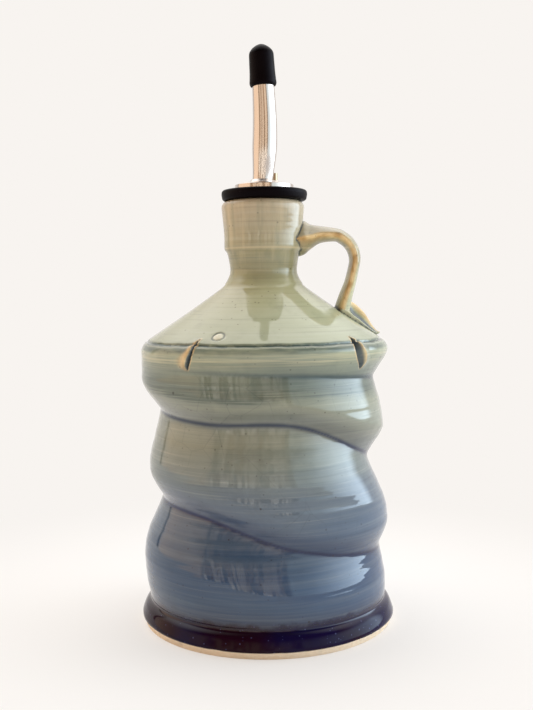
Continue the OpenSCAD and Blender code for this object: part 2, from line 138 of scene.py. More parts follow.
def groove_at(turn):
    """Height of the groove after so many degrees from its start."""
    t = np.clip(turn / GROOVE_STEP, 0, len(GROOVE_DROPS) - 1 - 1e-9)
    i = t.astype(int)
    s = t - i
    p = np.concatenate([[2 * GROOVE_DROPS[0] - GROOVE_DROPS[1]], GROOVE_DROPS,
                        [2 * GROOVE_DROPS[-1] - GROOVE_DROPS[-2]]])
    before, here, ahead, after = p[i], p[i + 1], p[i + 2], p[i + 3]
    rise, next_rise = (ahead - before) / 2, (after - here) / 2
    drop = mix(here, ahead, smooth(s)) + s * (1 - s) * ((1 - s) * rise - s * next_rise)
    return SHOULDER_Z - drop


def grooves(angle, z):
    """How far the groove takes the skin in, the distance to its crease, its share of the full depth
    there, and where painted shade lies just above the crease."""
    first = (angle - GROOVE_START) % 360
    depth = np.zeros_like(z)
    near = np.full_like(z, FAR)
    share = np.zeros_like(z)
    hollow = np.zeros_like(z)
    for lap in range(GROOVE_LAPS):
        turn = first + 360 * lap
        up = z - groove_at(turn)
        part = smooth(turn / GROOVE_FADE_IN) * smooth((GROOVE_TURNS - turn) / GROOVE_FADE_OUT)
        x = np.minimum(1, np.where(up > 0, up / GROOVE_OVER, -up / GROOVE_UNDER))
        soft_x = (np.hypot(x, CREASE_SOFT) - CREASE_SOFT) / CREASE_SPAN
        shape = mix(np.cos(np.pi / 2 * x) ** 2, 1 - np.sin(np.pi / 2 * soft_x), GROOVE_FOLD)
        depth = np.maximum(depth, GROOVE_DEPTH * part * shape)
        closer = np.abs(up) < near
        near = np.where(closer, np.abs(up), near)
        share = np.where(closer, part, share)
        # Mask for the painted shade just above the crease.
        hollow = np.maximum(hollow, part * np.exp(-((up - 2.5) / 4) ** 2))
    return depth, near, share, hollow


def body_r_at(z):
    """Radius of the body without its groove: out to the belly, in to the waist, out to the rim."""
    s = (z - FOOT_H) / (RIM_Z - FOOT_H)
    low = mix(FOOT_CREASE_R, BELLY_R, np.sin(np.pi / 2 * np.clip(s / BELLY_SHARE, 0, 1)))
    mid = mix(BELLY_R, WAIST_R, smooth((s - BELLY_SHARE) / (WAIST_SHARE - BELLY_SHARE)))
    high = mix(WAIST_R, BODY_R, smooth((s - WAIST_SHARE) / SHOULDER_RUN))
    return np.where(s < BELLY_SHARE, low, np.where(s < WAIST_SHARE, mid, high))


def spline(points, step):
    """A smooth line through the points, with about one point every step."""
    p = np.array(points, float)
    p = np.vstack([2 * p[0] - p[1], p, 2 * p[-1] - p[-2]])
    out = []
    for a, b, c, d in zip(p[:-3], p[1:-2], p[2:-1], p[3:]):
        count = max(1, int(round(np.linalg.norm((c - b)[:2]) / step)))
        for s in np.arange(count) / count:
            out.append(0.5 * (2 * b + (c - a) * s + (2 * a - 5 * b + 4 * c - d) * s ** 2
                              + (3 * b - a - 3 * c + d) * s ** 3))
    out.append(p[-2])
    return np.array(out)


def arc(centre, radius, start, end, step):
    """Points on an arc of the outline. Angles are from outwards towards up."""
    count = max(2, int(round(radius * math.radians(abs(end - start)) / step)))
    a = np.radians(np.linspace(start, end, count + 1))
    return np.stack([centre[0] + radius * np.cos(a), centre[1] + radius * np.sin(a)], 1)


def foot_outline():
    """From the table over the glaze's edge and the foot's bulge to the crease above it."""
    clay = [[FOOT_RING_R, 0], [FOOT_RING_R + 0.25, 0.15],
            [FOOT_R - 0.7, GLAZE_EDGE_Z - 0.25], [FOOT_R - 0.35, GLAZE_EDGE_Z + 0.15]]
    bulge = spline([[FOOT_R - 0.1, 2.6], [FOOT_R, 3.3], [FOOT_R - 0.5, FOOT_FALL_Z],
                    [mix(FOOT_R, FOOT_CREASE_R, 0.45), mix(FOOT_FALL_Z, FOOT_H, 0.5)],
                    [FOOT_CREASE_R + 0.25, FOOT_H - 0.4]], 0.6)
    return np.vstack([clay, bulge])


def side_outline():
    """Up the body to the rim, with closer rows where the pressed cuts are."""
    cuts_z = RIM_Z - CUT_REACH
    below = np.linspace(FOOT_H + 0.3, cuts_z, BODY_ROWS, endpoint=False)
    z = np.concatenate([below, np.linspace(cuts_z, RIM_Z, CUT_ROWS)])
    return np.stack([body_r_at(z), z], 1)


def shoulder_outline():
    """Over the rounded rim and the scored line, up the cone and the neck's waist to its ring."""
    rim = arc((BODY_R - RIM_ROUND, RIM_Z), RIM_ROUND, 0, 49, 0.45)[1:]
    edge = spline([rim[-1], [BODY_R - 2.3, SHOULDER_Z + 0.15], [BODY_R - 2.9, SHOULDER_Z + 0.7],
                   [BODY_R - 4.6, SHOULDER_Z + 1.85], CONE_OUT], 0.3)[1:]
    half = (mix(CONE_OUT[0], CONE_IN[0], 0.5), mix(CONE_OUT[1], CONE_IN[1], 0.5) - 0.2)
    cone = spline([edge[-6], CONE_OUT, half, CONE_IN,
                   [NECK_R + 1.9, mix(CONE_IN[1], NECK_WAIST_Z, 0.24)],
                   [NECK_R + 0.6, mix(CONE_IN[1], NECK_WAIST_Z, 0.62)], [NECK_R, NECK_WAIST_Z],
                   [NECK_R + 0.5, mix(NECK_WAIST_Z, RING_Z, 0.55)],
                   [COLLAR_R - 0.9, RING_Z - 0.9], [COLLAR_R - 0.1, RING_Z]], 1.1)
    return np.vstack([rim, edge, cone[cone[:, 1] > CONE_OUT[1] + 0.3]])


def neck_outline():
    """From the ring up the neck and over the lip."""
    neck = spline([[COLLAR_R - 0.1, RING_Z], [COLLAR_R, RING_Z + 1.2], [COLLAR_R, mix(RING_Z, LIP_Z, 0.3)],
                   [mix(COLLAR_R, LIP_R, 0.5), mix(RING_Z, LIP_Z, 0.6)],
                   [LIP_R, LIP_Z - LIP_ROUND]], 1.0)[1:]
    lip = arc((LIP_R - LIP_ROUND, LIP_Z - LIP_ROUND), LIP_ROUND, 0, 90, 0.4)[1:]
    return np.vstack([neck, lip])


def outer_outline():
    """Outline of the bottle from the table to the top of its lip, and the path length at each point."""
    points = np.vstack([foot_outline(), side_outline(), shoulder_outline(), neck_outline()])
    steps = np.linalg.norm(np.diff(points, axis=0), axis=1)
    return points, np.concatenate([[0], np.cumsum(steps)])


def inner_outline():
    """From the top of the lip down the bore and the oil chamber to the middle of the floor."""
    room_r = WAIST_R - GROOVE_DEPTH - WALL + 1
    mouth = arc((BORE_R + 1, LIP_Z - 1), 1, 90, 180, 0.4)
    room = spline([[BORE_R, LIP_Z - 3], [BORE_R, NECK_WAIST_Z - WALL], [BORE_R + 1, CONE_IN[1] - WALL + 1],
                   [room_r - 3, SHOULDER_Z - WALL], [room_r, SHOULDER_Z - 2 * WALL]], 4)
    corner = arc((room_r - 6, FLOOR_T + 6), 6, 0, -90, 1.6)
    return np.vstack([mouth, room, corner, [[12, FLOOR_T], [AXIS_R, FLOOR_T]]])


def under_outline():
    """From the middle of the underside out to the foot's ring."""
    inner = FOOT_RING_R - FOOT_RING_W
    return np.array([[AXIS_R, FOOT_RECESS], [inner - 4, FOOT_RECESS], [inner - 2, FOOT_RECESS - 0.2],
                     [inner - 0.6, FOOT_RECESS * 0.55], [inner, 0.4], [inner + 0.5, 0.05],
                     [inner + 1.2, 0], [FOOT_RING_R - 1, 0]])


def columns():
    """Angles round the bottle, closer together at the cuts, the pressed ring and the handle."""
    angle, out = -180.0, []
    while angle < LAST_COLUMN:
        out.append(angle)
        steps = [step for at, reach, step in FINE_COLUMNS if abs(angle - at) < reach]
        angle += min([COLUMN_STEP] + steps)
    return np.array(out)


def ring_mark(angle, z):
    """Distance along the shoulder from the middle of the small ring pressed in it."""
    across = np.radians(angle - MARK_AT) * MARK_SKIN_R
    up = (z - MARK_Z) / MARK_SKIN_RISE
    near = (z > SHOULDER_Z) & (z < SHOULDER_Z + MARK_REACH) & (np.abs(angle - MARK_AT) < MARK_REACH)
    return np.where(near, np.hypot(across, up) * MARK_SCALE, MARK_FAR)


def cut_form(at, outline, angle, radius, along):
    """One pressed cut: its inward depth, the clay raised beside it, where the glaze is thin, and the gap,
    which marks pooled glaze and painted shade in the slit.
    """
    up, near_edge, far_edge, thin_end = spline(outline, 0.3).T
    near, far, thin = (np.interp(along, up, edge) for edge in (near_edge, far_edge, thin_end))
    full = np.clip(1 - (2 * (along - up[0]) / (up[-1] - up[0]) - 1) ** 2, 0, 1)
    t = radius * np.radians(angle - at) * math.copysign(1, at)
    s = (t - near) / np.maximum(far - near, 0.2)
    v = np.clip(np.minimum(s / CUT_BOTTOM, (1 - s) / (1 - CUT_BOTTOM)), 0, 1)
    depth = CUT_DEPTH * np.sqrt(full) * smooth(v * 0.4 + 0.6 * v ** 1.5)
    lit_wall = smooth((s - 0.65) / 0.4)
    # The gap is pooled glaze and painted shade in the slit, kept mostly off the lit wall.
    gap = smooth(v * 3) * smooth(full * 5) * (1 - 0.8 * lit_wall)
    hill = (t - far) / LOBE_SPREAD
    raised = LOBE_H * full * np.exp(-np.where(hill > 0, hill * 1.25, hill * 3.2) ** 2)
    far_line = 0.9 * np.exp(-((t - far - 0.1) / 0.35) ** 2)
    near_line = 0.8 * np.exp(-((t - near + 0.15) / 0.3) ** 2)
    flap = 0.85 * smooth((t - far + 0.1) / 0.3) * smooth((thin - t) / np.maximum(thin - far, 0.3) * 1.1)
    wall = 0.6 * lit_wall * (s < 1.05)
    bare = np.clip(np.maximum(np.maximum(far_line + near_line, flap), wall), 0, 1) * full ** 0.4
    return depth, raised, bare, gap


def cut_forms(angle, radius, along):
    """The two pressed cuts taken together."""
    left, right = (cut_form(at, outline, angle, radius, along) for at, outline in CUTS)
    return [np.maximum(a, b) for a, b in zip(left, right)]


def placed(name, data):
    obj = bpy.data.objects.new(name, data)
    bpy.context.scene.collection.objects.link(obj)
    return obj


def new_object(name, verts, faces, body, material):
    """A smooth object from points in millimetres, on its body and with its slot."""
    mesh = bpy.data.meshes.new(name)
    mesh.from_pydata([tuple(v) for v in np.asarray(verts) * MM], [], faces)
    mesh.validate()
    mesh.polygons.foreach_set("use_smooth", [True] * len(mesh.polygons))
    mesh.materials.append(material)
    obj = placed(name, mesh)
    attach(obj, body)
    return obj


def add_value(obj, name, values):
    """A number at every point, which the glaze reads by its name."""
    layer = obj.data.attributes.new(name, "FLOAT", "POINT")
    layer.data.foreach_set("value", np.asarray(values, np.float32))


def grid_faces(rows, cols):
    """Quads between the rows of a grid that goes round, with outward normals for rows that go up."""
    i, j = np.meshgrid(np.arange(rows - 1), np.arange(cols), indexing="ij")
    a, b = i * cols + j, i * cols + (j + 1) % cols
    return np.stack([a, b, b + cols, a + cols], -1).reshape(-1, 4).tolist()


def turned(turn, radii, heights, lean=0.0):
    """Points at those radii and heights round the axis, moved sideways by the lean."""
    shape = (len(radii), len(turn))
    radii, heights = np.broadcast_to(radii, shape), np.broadcast_to(heights, shape)
    return np.stack([radii * np.sin(turn) - lean, -radii * np.cos(turn), heights], -1)


def row_at(outline, z):
    return int(np.argmin(np.abs(outline[:, 1] - z)))


def skin_normals(outline):
    """Outward direction in radius and in height at each row, then both evened out over some rows."""
    tangent = np.gradient(outline, axis=0)
    tangent /= np.linalg.norm(tangent, axis=1)[:, None]
    sharp = [tangent[:, 1], -tangent[:, 0]]
    count = 2 * EVEN_ROWS + 1
    even = [np.convolve(np.pad(part, EVEN_ROWS, "edge"), np.ones(count) / count, "valid") for part in sharp]
    return [part[:, None] for part in sharp + even]


def ripples(turn, z):
    """The throwing ripple on the body and the uneven foot, set in so that it stays within the foot."""
    body = 0.012 * np.sin(z * 2.9 + 0.5 * turn)
    body = body + 0.03 * np.sin(z * 1.3 - turn) + 0.04 * np.sin(z * 0.7 + 2 * turn)
    foot = 0.12 * np.sin(3 * turn) + 0.07 * np.sin(7 * turn + 1) - FOOT_INSET
    on_body = (z > FOOT_H + 2) & (z < SHOULDER_Z - 3)
    on_foot = (z > 3) & (z < FOOT_H + 0.5)
    return body * on_body + foot * on_foot


def score_distance(turn, above_score):
    """Distance up the skin from the scored line, which wanders a little."""
    wobble = 0.12 * np.sin(9 * turn + 1) + 0.1 * np.sin(23 * turn) + 0.06 * np.sin(51 * turn + 2)
    return above_score - wobble - 0.4 * np.sin(turn - 0.3)


def scored_and_marked(score, mark, cut):
    """Outward shift of the skin by the scored line, which stops at the cuts, and by the pressed ring."""
    line = SCORE_DEPTH * 0.8 * np.exp(-(score / 0.42) ** 2) * (1 - np.clip(cut * 3, 0, 1))
    ring = 0.3 * np.exp(-((mark - MARK_R) / 0.42) ** 2) - 0.12 * np.exp(-(mark / 1.3) ** 2)
    return -line - ring


def clay_share(turn, z):
    """One on the bare clay below the glaze's ragged edge."""
    edge = GLAZE_EDGE_Z + 0.12 * np.sin(11 * turn) + 0.1 * np.sin(29 * turn)
    return np.clip((edge - z) / 0.12 + 0.5, 0, 1)


def bottle_mesh(material):
    """The thrown body as one closed skin: underside, outside, rim, bore and oil chamber."""
    turns = np.radians(columns())
    under, (outer, length), inner = under_outline(), outer_outline(), inner_outline()
    angle, radius = np.meshgrid(columns(), outer[:, 0])
    height = np.repeat(outer[:, 1:], len(turns), 1)
    turn = np.radians(angle)
    length = np.repeat(length[:, None], len(turns), 1)

    groove, fold, share, hollow = grooves(angle, height)
    groove = np.where(height < FOOT_H, 0, groove)
    cut, raised, bare, gap = cut_forms(angle, radius, length - length[row_at(outer, RIM_Z)])
    score = score_distance(turn, length - length[row_at(outer, SCORE_Z)])
    mark = ring_mark(angle, height)
    out = ripples(turn, height) + scored_and_marked(score, mark, cut)
    normal_r, normal_z, even_r, even_z = skin_normals(outer)
    r = radius - groove + out * normal_r + (raised - cut) * even_r
    z = height + out * normal_z + (raised - cut) * even_z

    points = np.concatenate([turned(turns, under[:, :1], under[:, 1:]), turned(turns, r, z, lean_at(z)),
                             turned(turns, inner[:, :1], inner[:, 1:])])
    faces = grid_faces(len(points), len(turns))
    obj = new_object("bottle_body", points.reshape(-1, 3), faces, "bottle", material)
    # Each value's name, and what it is on the underside, on the outside and inside.
    values = (
        ("fold", FAR, fold, FAR), ("share", 0, share, 0), ("hollow", 0, hollow, 0),
        ("score", FAR, score, FAR), ("ring", MARK_FAR, mark, MARK_FAR), ("edge", 0, bare, 0),
        ("pool_and_shade", 0, gap, 0), ("clay", 1, clay_share(turn, height), 0), ("inside", 0, 0 * fold, 1),
    )
    for name, below, outside, within in values:
        below = np.full((len(under), len(turns)), below)
        within = np.full((len(inner), len(turns)), within)
        add_value(obj, name, np.concatenate([below, outside, within]).ravel())
    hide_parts("bottle")
    return obj


def strap_path():
    """The strap's middle line: x, z, lean of the section, thickness, width."""
    bend_x, bend_z = HANDLE_REACH - STRAP_BEND_R, HANDLE_TOP - STRAP_BEND_R
    path = [
        (NECK_R - 3, HANDLE_TOP - 2.4, 90, ROOT_H, ROOT_W),
        (NECK_R + 1.7, HANDLE_TOP - 1.2, 91, ROOT_H, ROOT_W),
        (NECK_R + 4.2, HANDLE_TOP - 0.9, 90, mix(ROOT_H, STRAP_T, 0.38), mix(ROOT_W, STRAP_W, 0.5)),
        (NECK_R + 7.8, HANDLE_TOP - 0.1, 90, mix(ROOT_H, STRAP_T, 0.74), STRAP_W),
    ]
    for share in np.linspace(0, 1, 7):
        lean = mix(75, STRAP_DOWN, share)
        path.append((bend_x + STRAP_BEND_R * math.cos(math.radians(lean)),
                     bend_z + STRAP_BEND_R * math.sin(math.radians(lean)), lean,
                     mix(STRAP_T + 0.8, STRAP_T, share), STRAP_W))
    x, z = STRAP_FOOT
    path += [
        (x + 1.9, z + 5.8, STRAP_DOWN, STRAP_T + 0.2, STRAP_W),
        (x + 1, z + 3, STRAP_DOWN, STRAP_T + 0.5, STRAP_W - 0.4),
        (x, z, STRAP_DOWN + 2, STRAP_T + 1, STRAP_W - 1),
        (x - 1.7, z - 6.2, STRAP_DOWN + 4, STRAP_T + 2, STRAP_W - 1.6),
    ]
    return path


def tail_path():
    """The strap's end, pressed out along the shoulder: as strap_path, with the depth of its channel."""
    stations = ((-5.6, 0.7, 11, 0.05), (-4.1, 1, 10.6, 0.15), (-1.6, 1, 9.8, 0.42), (1.3, 0.84, 8.4, 0.42),
                (4.4, 0.5, 6.2, 0.35), (6.8, 0.28, 3.8, 0.15), (8.6, 0.08, 1.8, 0.05))
    path = []
    for at, high, wide, dip in stations:
        x = HANDLE_REACH + at
        z = CONE_OUT[1] + CONE_SLOPE * max(-4.6, CONE_OUT[0] - x - LEAN)
        path.append((x, z, 52 - 0.5 * max(0, at), 2 * TAIL_H * high / 0.866, wide, dip))
    return path


def strap_section(cos, sin, thick, dip):
    """How far the skin is from the middle line: a lens, or on the tail two tilted lips with a channel."""
    sharp = math.log(min(STRAP_EDGE / thick, 0.6)) / math.log(0.5)
    section = np.sign(cos) * np.abs(cos) ** sharp
    if dip > TAIL_DIP:
        lips = np.sqrt(1 - sin ** 4) - np.maximum(0, 1 - ((sin - 0.25) / 0.65) ** 2) * dip * 1.3
        section = np.where(cos > 0, lips, section) * (0.85 - 1.4 * TAIL_TILT * sin)
    edge = 0.5 * STRAP_EDGE * np.sign(cos) * np.abs(cos) ** 0.5 * np.abs(sin) ** 6
    return thick / 2 * section + edge


def thin_glaze(cos, sin, dip):
    """Where the glaze is thin: along both edges of the strap, or on the far lip of the tail."""
    if dip > TAIL_DIP:
        return np.where(sin > 0, 0.1, smooth((-0.18 - sin) / 0.15)) * (cos > -0.2)
    return np.clip(1.35 - np.abs(cos + 0.2) / 0.5, 0, 1) * (np.abs(sin) > 0.4)


def strap_mesh(name, path, material):
    """A swept strap with a lens section: thickest in the middle, with narrow rounded edges."""
    stations = spline([p if len(p) > 5 else (*p, 0) for p in path], 0.55)
    around = np.radians(np.arange(0, 360, 7.5))
    cos, sin = np.cos(around), np.sin(around)
    rings, edge, channel = [], [], []
    for k, (x, z, lean, thick, wide, dip) in enumerate(stations):
        uneven = 0.12 * math.sin(0.37 * k) + 0.08 * math.sin(0.83 * k + 1)
        across = -(max(wide, 1) + uneven) / 2 * sin
        off = strap_section(cos, sin, max(thick, 0.3), dip)
        lean = math.radians(lean)
        rings.append(np.stack([x + off * math.cos(lean), across, z + off * math.sin(lean)], -1))
        edge.append(thin_glaze(cos, sin, dip))
        # The tail's channel is marked for pooled glaze and painted shade.
        channel.append(np.clip(1.3 - np.abs(sin - 0.1) / 0.28, 0, 1) * (cos > 0) * min(1, dip / 0.15))
    n, rows = len(around), len(rings)
    faces = [face[::-1] for face in grid_faces(rows, n)]
    faces += [list(range(n)), [(rows - 1) * n + j for j in range(n - 1, -1, -1)]]
    obj = new_object(name, np.concatenate(rings), faces, "bottle", material)
    for key, value in STRAP_VALUES.items():
        add_value(obj, key, np.full(rows * n, value))
    add_value(obj, "edge", np.concatenate(edge))
    add_value(obj, "pool_and_shade", np.concatenate(channel))
    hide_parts("bottle")
    return obj


def points_of(obj):
    out = np.zeros(len(obj.data.vertices) * 3, np.float32)
    obj.data.vertices.foreach_get("co", out)
    return out.reshape(-1, 3) / MM


def tree_of(points):
    tree = KDTree(len(points))
    for i, point in enumerate(points):
        tree.insert(point, i)
    tree.balance()
    return tree


def mark_pool_and_shade(obj, points, other, reach):
    """Pooled glaze and painted shade within reach of the other skin, and twice as far round the strap's
    foot.
    """
    layer = obj.data.attributes["pool_and_shade"]
    values = np.zeros(len(points), np.float32)
    layer.data.foreach_get("value", values)
    x, z = points[:, 0], points[:, 2]
    by_handle = (x > 8) & (z > SHOULDER_Z - 2) & (z < LIP_Z - 3)
    at_foot = (x < HANDLE_REACH - 5.5) & (z < NECK_WAIST_Z)
    for i in np.where(by_handle)[0]:
        distance = other.find(points[i])[2]
        if at_foot[i]:
            distance *= 0.5
        if distance < reach:
            values[i] = max(values[i], 1 - distance / reach)
    layer.data.foreach_set("value", values)


def pool_and_shade_where_they_meet(body, straps):
    """Pooled glaze and painted shade in the joints: marks the skins near the line where a strap goes into
    the body.
    """
    body_points = points_of(body)
    strap_points = [points_of(strap) for strap in straps]
    outside = body_points[np.hypot(body_points[:, 0], body_points[:, 1]) > BORE_R + 1.2]
    body_tree = tree_of(outside)
    mark_pool_and_shade(body, body_points, tree_of(np.concatenate(strap_points)), BODY_POOL_AND_SHADE)
    for strap, points in zip(straps, strap_points):
        mark_pool_and_shade(strap, points, body_tree, STRAP_POOL_AND_SHADE)


def revolve(outline, segments=96):
    """Points and faces of an outline turned about Z. The outline goes up on its outside."""
    turns = np.radians(np.arange(segments) * 360 / segments)
    points = turned(turns, outline[:, :1], outline[:, 1:]).reshape(-1, 3)
    return points, grid_faces(len(outline), segments)


def apply_modifiers(obj):
    """Takes the shape that the modifiers give as the object's own mesh."""
    depsgraph = bpy.context.evaluated_depsgraph_get()
    mesh = bpy.data.meshes.new_from_object(obj.evaluated_get(depsgraph))
    old = obj.data
    obj.modifiers.clear()
    obj.data = mesh
    bpy.data.meshes.remove(old)


def level_ring(turns, radius, z, centre=(0.0, 0.0)):
    x, y = centre[0] + radius * np.cos(turns), centre[1] + radius * np.sin(turns)
    return np.stack([x, y, np.full(len(turns), z)], -1)


def drill(obj, at, radius, low, high):
    """A round hole through a piece, along Z."""
    n = HOLE_SIDES
    turns = np.radians(np.arange(n) * 360 / n)
    points = np.concatenate([level_ring(turns, radius, z, at) for z in (low, high)])
    faces = grid_faces(2, n) + [list(range(n))[::-1], list(range(n, 2 * n))]
    mesh = bpy.data.meshes.new("drill")
    mesh.from_pydata([tuple(v) for v in points * MM], [], faces)
    tool = placed("drill", mesh)
    cut = obj.modifiers.new("hole", "BOOLEAN")
    cut.operation, cut.solver, cut.object = "DIFFERENCE", "EXACT", tool
    apply_modifiers(obj)
    bpy.data.objects.remove(tool)
    bpy.data.meshes.remove(mesh)


def rounded(corners, radius):
    """An outline whose corners are rounded by that radius, or by each corner's own third value."""
    points = [np.array(c[:2], float) for c in corners]
    radii = [c[2] if len(c) > 2 else radius for c in corners]
    out = [points[0]]
    for before, here, after, r in zip(points[:-2], points[1:-1], points[2:], radii[1:-1]):
        back, ahead = before - here, after - here
        back_length, ahead_length = np.linalg.norm(back), np.linalg.norm(ahead)
        reach = min(r, back_length * 0.48, ahead_length * 0.48)
        if reach < 0.02:
            out.append(here)
            continue
        start, end = here + back / back_length * reach, here + ahead / ahead_length * reach
        for s in np.linspace(0, 1, 5):
            out.append((1 - s) ** 2 * start + 2 * s * (1 - s) * here + s * s * end)
    out.append(points[-1])
    return np.array(out)


def stopper_mesh(material):
    """The collar on the rim and the plug with its fins, with the holes for both tubes."""
    pitch = (PLUG_LEN - 4) / FIN_COUNT
    corners = [(AXIS_R, PLUG_Z), (PLUG_R - 1, PLUG_Z), (PLUG_R, PLUG_Z + 1)]
    for i in range(FIN_COUNT):
        z = PLUG_Z + 2 + i * pitch
        fin = z + pitch / 2
        corners += [(PLUG_R, z), (FIN_R, fin - FIN_T / 2), (FIN_R, fin + FIN_T / 2), (PLUG_R, fin + FIN_T)]
    corners += [(PLUG_R, LIP_Z, 0.1), (COLLAR_OUT_R - 1, LIP_Z, 0.5), (COLLAR_OUT_R - 0.3, LIP_Z + 0.5, 0.5),
                (COLLAR_OUT_R, LIP_Z + COLLAR_T * 0.6), (COLLAR_OUT_R - 0.1, COLLAR_Z - 0.5, 0.4),
                (COLLAR_OUT_R - 0.6, COLLAR_Z, 0.3), (AXIS_R, COLLAR_Z)]
    points, faces = revolve(rounded(corners, 0.35))
    obj = new_object("stopper_rubber", points, faces, "pourer", material)
    drill(obj, SPOUT_AT, SPOUT_BASE_R + TUBE_GAP, PLUG_Z - 1, COLLAR_Z + 1)
    drill(obj, VENT_AT, VENT_R + TUBE_GAP, PLUG_Z - 1, COLLAR_Z + 1)
    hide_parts("stopper")


def dome_at(radii):
    """Height of the plate's top at those radii, without its boss."""
    flat, low = BOSS_Z, BOSS_Z - PLATE_RISE
    dome = np.interp(radii, [0, 0.6 * PLATE_R, 0.9 * PLATE_R, 0.97 * PLATE_R, PLATE_R],
                     [flat, flat, mix(flat, low, 0.45), mix(flat, low, 0.72), low])
    dome = np.convolve(np.pad(dome, 4, mode="edge"), np.ones(9) / 9, "valid")
    dome[-1] = low
    return dome


def boss_at(x, y):
    """Height of the stamped boss that runs round both tubes."""
    dx, dy = VENT_AT[0] - SPOUT_AT[0], VENT_AT[1] - SPOUT_AT[1]
    x, y = x - SPOUT_AT[0], y - SPOUT_AT[1]
    t = np.clip((x * dx + y * dy) / (dx * dx + dy * dy), 0, 1)
    gap = np.hypot(x - t * dx, y - t * dy) - mix(SPOUT_BASE_R, VENT_R, smooth(t)) - BOSS_MARGIN
    return BOSS_H * smooth(0.5 - gap / 0.9)


def plate_mesh(material):
    """Domed plate with its boss, a rounded edge, a thin side and a flat underside."""
    rim = PLATE_R - 0.3 * (1 - np.sin(np.radians([20, 45, 70, 90])))
    radii = np.concatenate([np.linspace(0.05, 0.97 * PLATE_R, 42), rim])
    turns = np.radians(np.arange(0, 360, 3))
    radius, turn = np.meshgrid(radii, turns, indexing="ij")
    x, y = radius * np.cos(turn), radius * np.sin(turn)
    upper = np.stack([x, y, dome_at(radii)[:, None] + boss_at(x, y)], -1)
    lower = [level_ring(turns, PLATE_R, COLLAR_Z + 0.35), level_ring(turns, PLATE_R, COLLAR_Z + 0.05),
             level_ring(turns, PLATE_R - 0.2, COLLAR_Z), level_ring(turns, 0.05, COLLAR_Z)]
    rows = np.concatenate([upper, np.array(lower)])
    faces = [face[::-1] for face in grid_faces(len(rows), len(turns))]
    obj = new_object("pourer_plate", rows.reshape(-1, 3), faces, "pourer", material)
    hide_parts("plate")


def spout_lean(z):
    """Lean of the spout in degrees."""
    return SPOUT_BASE_LEAN - SPOUT_BEND * smooth((z - BOSS_Z) / (CAP_Z - BOSS_Z))


def spout_shift(z):
    """How far the leaning spout has gone sideways at that height."""
    step = 0.1
    heights = np.arange(BOSS_Z, TIP_Z + 2 * step, step)
    shift = step * np.tan(np.radians(spout_lean(heights[:-1] + step / 2)))
    return np.interp(z, heights, np.concatenate([[0], np.cumsum(shift)]))


def spout_r(z):
    """The spout swells to its belly and narrows to its tip."""
    s = np.clip((z - BOSS_Z) / (TIP_Z - BOSS_Z), 0, 1)
    low = mix(SPOUT_BASE_R, SPOUT_BELLY_R, smooth(s / SPOUT_BELLY_SHARE))
    run = np.clip((s - SPOUT_BELLY_SHARE) / (1 - SPOUT_BELLY_SHARE), 0, 1)
    high = mix(SPOUT_BELLY_R, SPOUT_TIP_R, run ** 1.3)
    return np.where(s < SPOUT_BELLY_SHARE, low, high)


def spout_ring(turns, z, r):
    """A round of points across the spout, square to its lean."""
    lean = math.radians(float(spout_lean(z))) if z > BOSS_Z else 0
    across = r * np.cos(turns)
    return np.stack([SPOUT_AT[0] + float(spout_shift(z)) + across * math.cos(lean),
                     SPOUT_AT[1] + r * np.sin(turns), z - across * math.sin(lean)], -1)


def spout_mesh(material):
    """The open steel tube: up its outside, over its lip, down its inside and closed at the lower end."""
    heights = np.concatenate([[PLUG_Z, BOSS_Z - 1], np.linspace(BOSS_Z, TIP_Z, 90)])
    turns = np.radians(np.arange(0, 360, 4.5))
    outer = [spout_ring(turns, z, float(spout_r(z))) for z in heights]
    inner = [spout_ring(turns, z, float(spout_r(z)) - TUBE_WALL) for z in heights[::-1]]
    lip = [spout_ring(turns, TIP_Z + 0.05, float(spout_r(TIP_Z)) - TUBE_WALL / 2)]
    rows = outer + lip + inner + [outer[0]]
    faces = grid_faces(len(rows), len(turns))
    obj = new_object("spout_tube", np.concatenate(rows), faces, "pourer", material)
    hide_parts("spout")


def cap_mesh(material):
    """The rubber cap, made upright and then set on the spout's leaning tip."""
    inner_r = float(spout_r(CAP_Z)) + CAP_GAP
    depth = CAP_LEN - CAP_END
    corners = [(SPOUT_TIP_R + CAP_GAP, -0.01), (inner_r, -depth, 0.15), (CAP_R - 0.35, -depth, 0.25),
               (CAP_R, 0.8 - depth, 0.7), (mix(CAP_R, CAP_TOP_R, 0.6), 4 - depth, 1.5),
               (CAP_TOP_R, CAP_END - 3.4, 1), (CAP_TOP_R - 0.25, CAP_END - 2.6, 0.8),
               (CAP_TOP_R * 0.75, CAP_END - 1.5, 0.8), (CAP_TOP_R * 0.42, CAP_END - 0.5, 0.7),
               (CAP_TOP_R * 0.2, CAP_END - 0.1, 0.3), (AXIS_R, CAP_END)]
    outline = np.vstack([[[AXIS_R, -0.02]], rounded(corners, 0.3)])
    points, faces = revolve(outline, segments=80)
    lean = math.radians(float(spout_lean(TIP_Z)))
    cos, sin = math.cos(lean), math.sin(lean)
    turn = np.array([[cos, 0, sin], [0, 1, 0], [-sin, 0, cos]])
    tip = np.array([SPOUT_AT[0] + float(spout_shift(TIP_Z)), SPOUT_AT[1], TIP_Z])
    obj = new_object("tip_cap_rubber", points @ turn.T + tip, faces, "tip_cap", material)
    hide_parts("cap")


def rgb(red, green, blue):
    """Screen colour, 0 to 255, as linear light with full alpha."""
    values = [c / 255 for c in (red, green, blue)]
    return (*[c / 12.92 if c <= 0.04045 else ((c + 0.055) / 1.055) ** 2.4 for c in values], 1)


